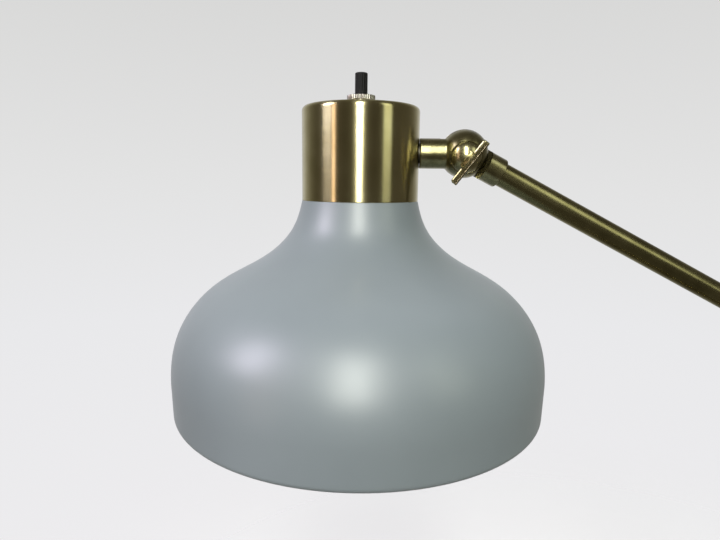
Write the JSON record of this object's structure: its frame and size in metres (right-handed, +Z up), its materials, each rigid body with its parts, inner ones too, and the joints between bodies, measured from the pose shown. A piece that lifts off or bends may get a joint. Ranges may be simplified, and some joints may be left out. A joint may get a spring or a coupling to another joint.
{
  "type": "desk lamp",
  "caption": "Architect desk lamp with a bell shade, a capped lampholder with rotary switch, and two tube arms on ball knuckles over a weighted round base.",
  "frame": {"origin": "on the desk, under the middle of the round base", "axes": "+Z up; the arms fold in the plane y = 0, the head is on the -X side and the wing screws face -Y"},
  "size_m": [0.454, 0.1967, 0.5565],
  "materials": {
    "lacquered_brass": "satin, turned and lacquered",
    "tube_brass": "satin, drawn and lacquered",
    "cap_brass": "satin, brushed round the axis and lacquered",
    "wing_brass": "polished, lacquered",
    "contact_brass": "satin",
    "grey_paint": "satin, sprayed on spun steel",
    "knob_plastic": "matte, moulded",
    "black_plastic": "matte, moulded",
    "holder_plastic": "satin, moulded",
    "cable_plastic": "satin",
    "lead_plastic": "satin",
    "fibre": "matte, vulcanised fibre",
    "switch_nickel": "satin nickel",
    "nipple_steel": "zinc plated",
    "grub_screw_steel": "blackened",
    "ring_aluminium": "satin",
    "lamp_aluminium": "satin",
    "lamp_glass": "frosted",
    "weight_iron": "matte, sand cast",
    "pad_rubber": "matte"
  },
  "bodies": {
    "base": {"base_pad": "pad_rubber", "base_weight": "weight_iron", "base_cover": "lacquered_brass", "cord_gland": "black_plastic", "foot_ring": "lacquered_brass", "riser": "lacquered_brass", "riser_nipple": "nipple_steel", "riser_washer": "nipple_steel", "riser_nut": "nipple_steel", "base_friction_washer": "fibre"},
    "lower_arm": {"base_knuckle": "lacquered_brass", "lower_tube": "tube_brass", "lower_cable": "cable_plastic", "elbow_rear_knuckle": "lacquered_brass", "elbow_friction_washer": "fibre"},
    "upper_arm": {"elbow_front_knuckle": "lacquered_brass", "upper_tube": "tube_brass", "upper_cable": "cable_plastic", "head_rear_knuckle": "lacquered_brass", "head_friction_washer": "fibre"},
    "base_wing": {"base_wing_screw": "wing_brass"},
    "elbow_wing": {"elbow_wing_screw": "wing_brass"},
    "head_wing": {"head_wing_screw": "wing_brass"},
    "stub": {"stub_knuckle": "lacquered_brass", "stub_nipple": "nipple_steel", "stub_washer": "nipple_steel", "stub_nut": "nipple_steel"},
    "head": {"cap": "cap_brass", "cap_screw": "grub_screw_steel", "mount_ring": "ring_aluminium", "shade": "grey_paint", "shade_ring": "holder_plastic", "lampholder": "holder_plastic", "screw_shell": "contact_brass", "centre_contact": "contact_brass", "lamp_cap": "lamp_aluminium", "lamp_glass": "lamp_glass", "switch_body": "black_plastic", "switch_bushing": "switch_nickel", "switch_nut": "switch_nickel", "switch_leads": "lead_plastic"},
    "knob": {"switch_knob": "knob_plastic"}
  },
  "joints": [
    {"name": "lower_tilt", "type": "hinge", "parent": "base", "child": "lower_arm", "pos_m": [0, 0, 0.06], "axis": [0, -1, 0], "range_deg": [-30, 30]},
    {"name": "elbow_tilt", "type": "hinge", "parent": "lower_arm", "child": "upper_arm", "pos_m": [0.11287, 0, 0.3701], "axis": [0, -1, 0], "range_deg": [-75, 20]},
    {"name": "head_tilt", "type": "hinge", "parent": "upper_arm", "child": "stub", "pos_m": [-0.1822, 0, 0.51786], "axis": [-0.1212, -0.9627, -0.242], "range_deg": [-80, 25]},
    {"name": "head_roll", "type": "hinge", "parent": "stub", "child": "head", "pos_m": [-0.2337, 0.00648, 0.51786], "axis": [0.9922, -0.1249, 0], "range_deg": [-90, 90]},
    {"name": "base_wing_turn", "type": "hinge", "parent": "lower_arm", "child": "base_wing", "pos_m": [0, 0, 0.06], "axis": [0, -1, 0], "range_deg": [-180, 0]},
    {"name": "elbow_wing_turn", "type": "hinge", "parent": "lower_arm", "child": "elbow_wing", "pos_m": [0.11287, 0, 0.3701], "axis": [0, -1, 0], "range_deg": [-180, 0]},
    {"name": "head_wing_turn", "type": "hinge", "parent": "upper_arm", "child": "head_wing", "pos_m": [-0.1822, 0, 0.51786], "axis": [-0.1212, -0.9627, -0.242], "range_deg": [-180, 0]},
    {"name": "knob_turn", "type": "hinge", "parent": "head", "child": "knob", "pos_m": [-0.2337, 0.00648, 0.51786], "axis": [0, 0, 1], "continuous": true}
  ]
}
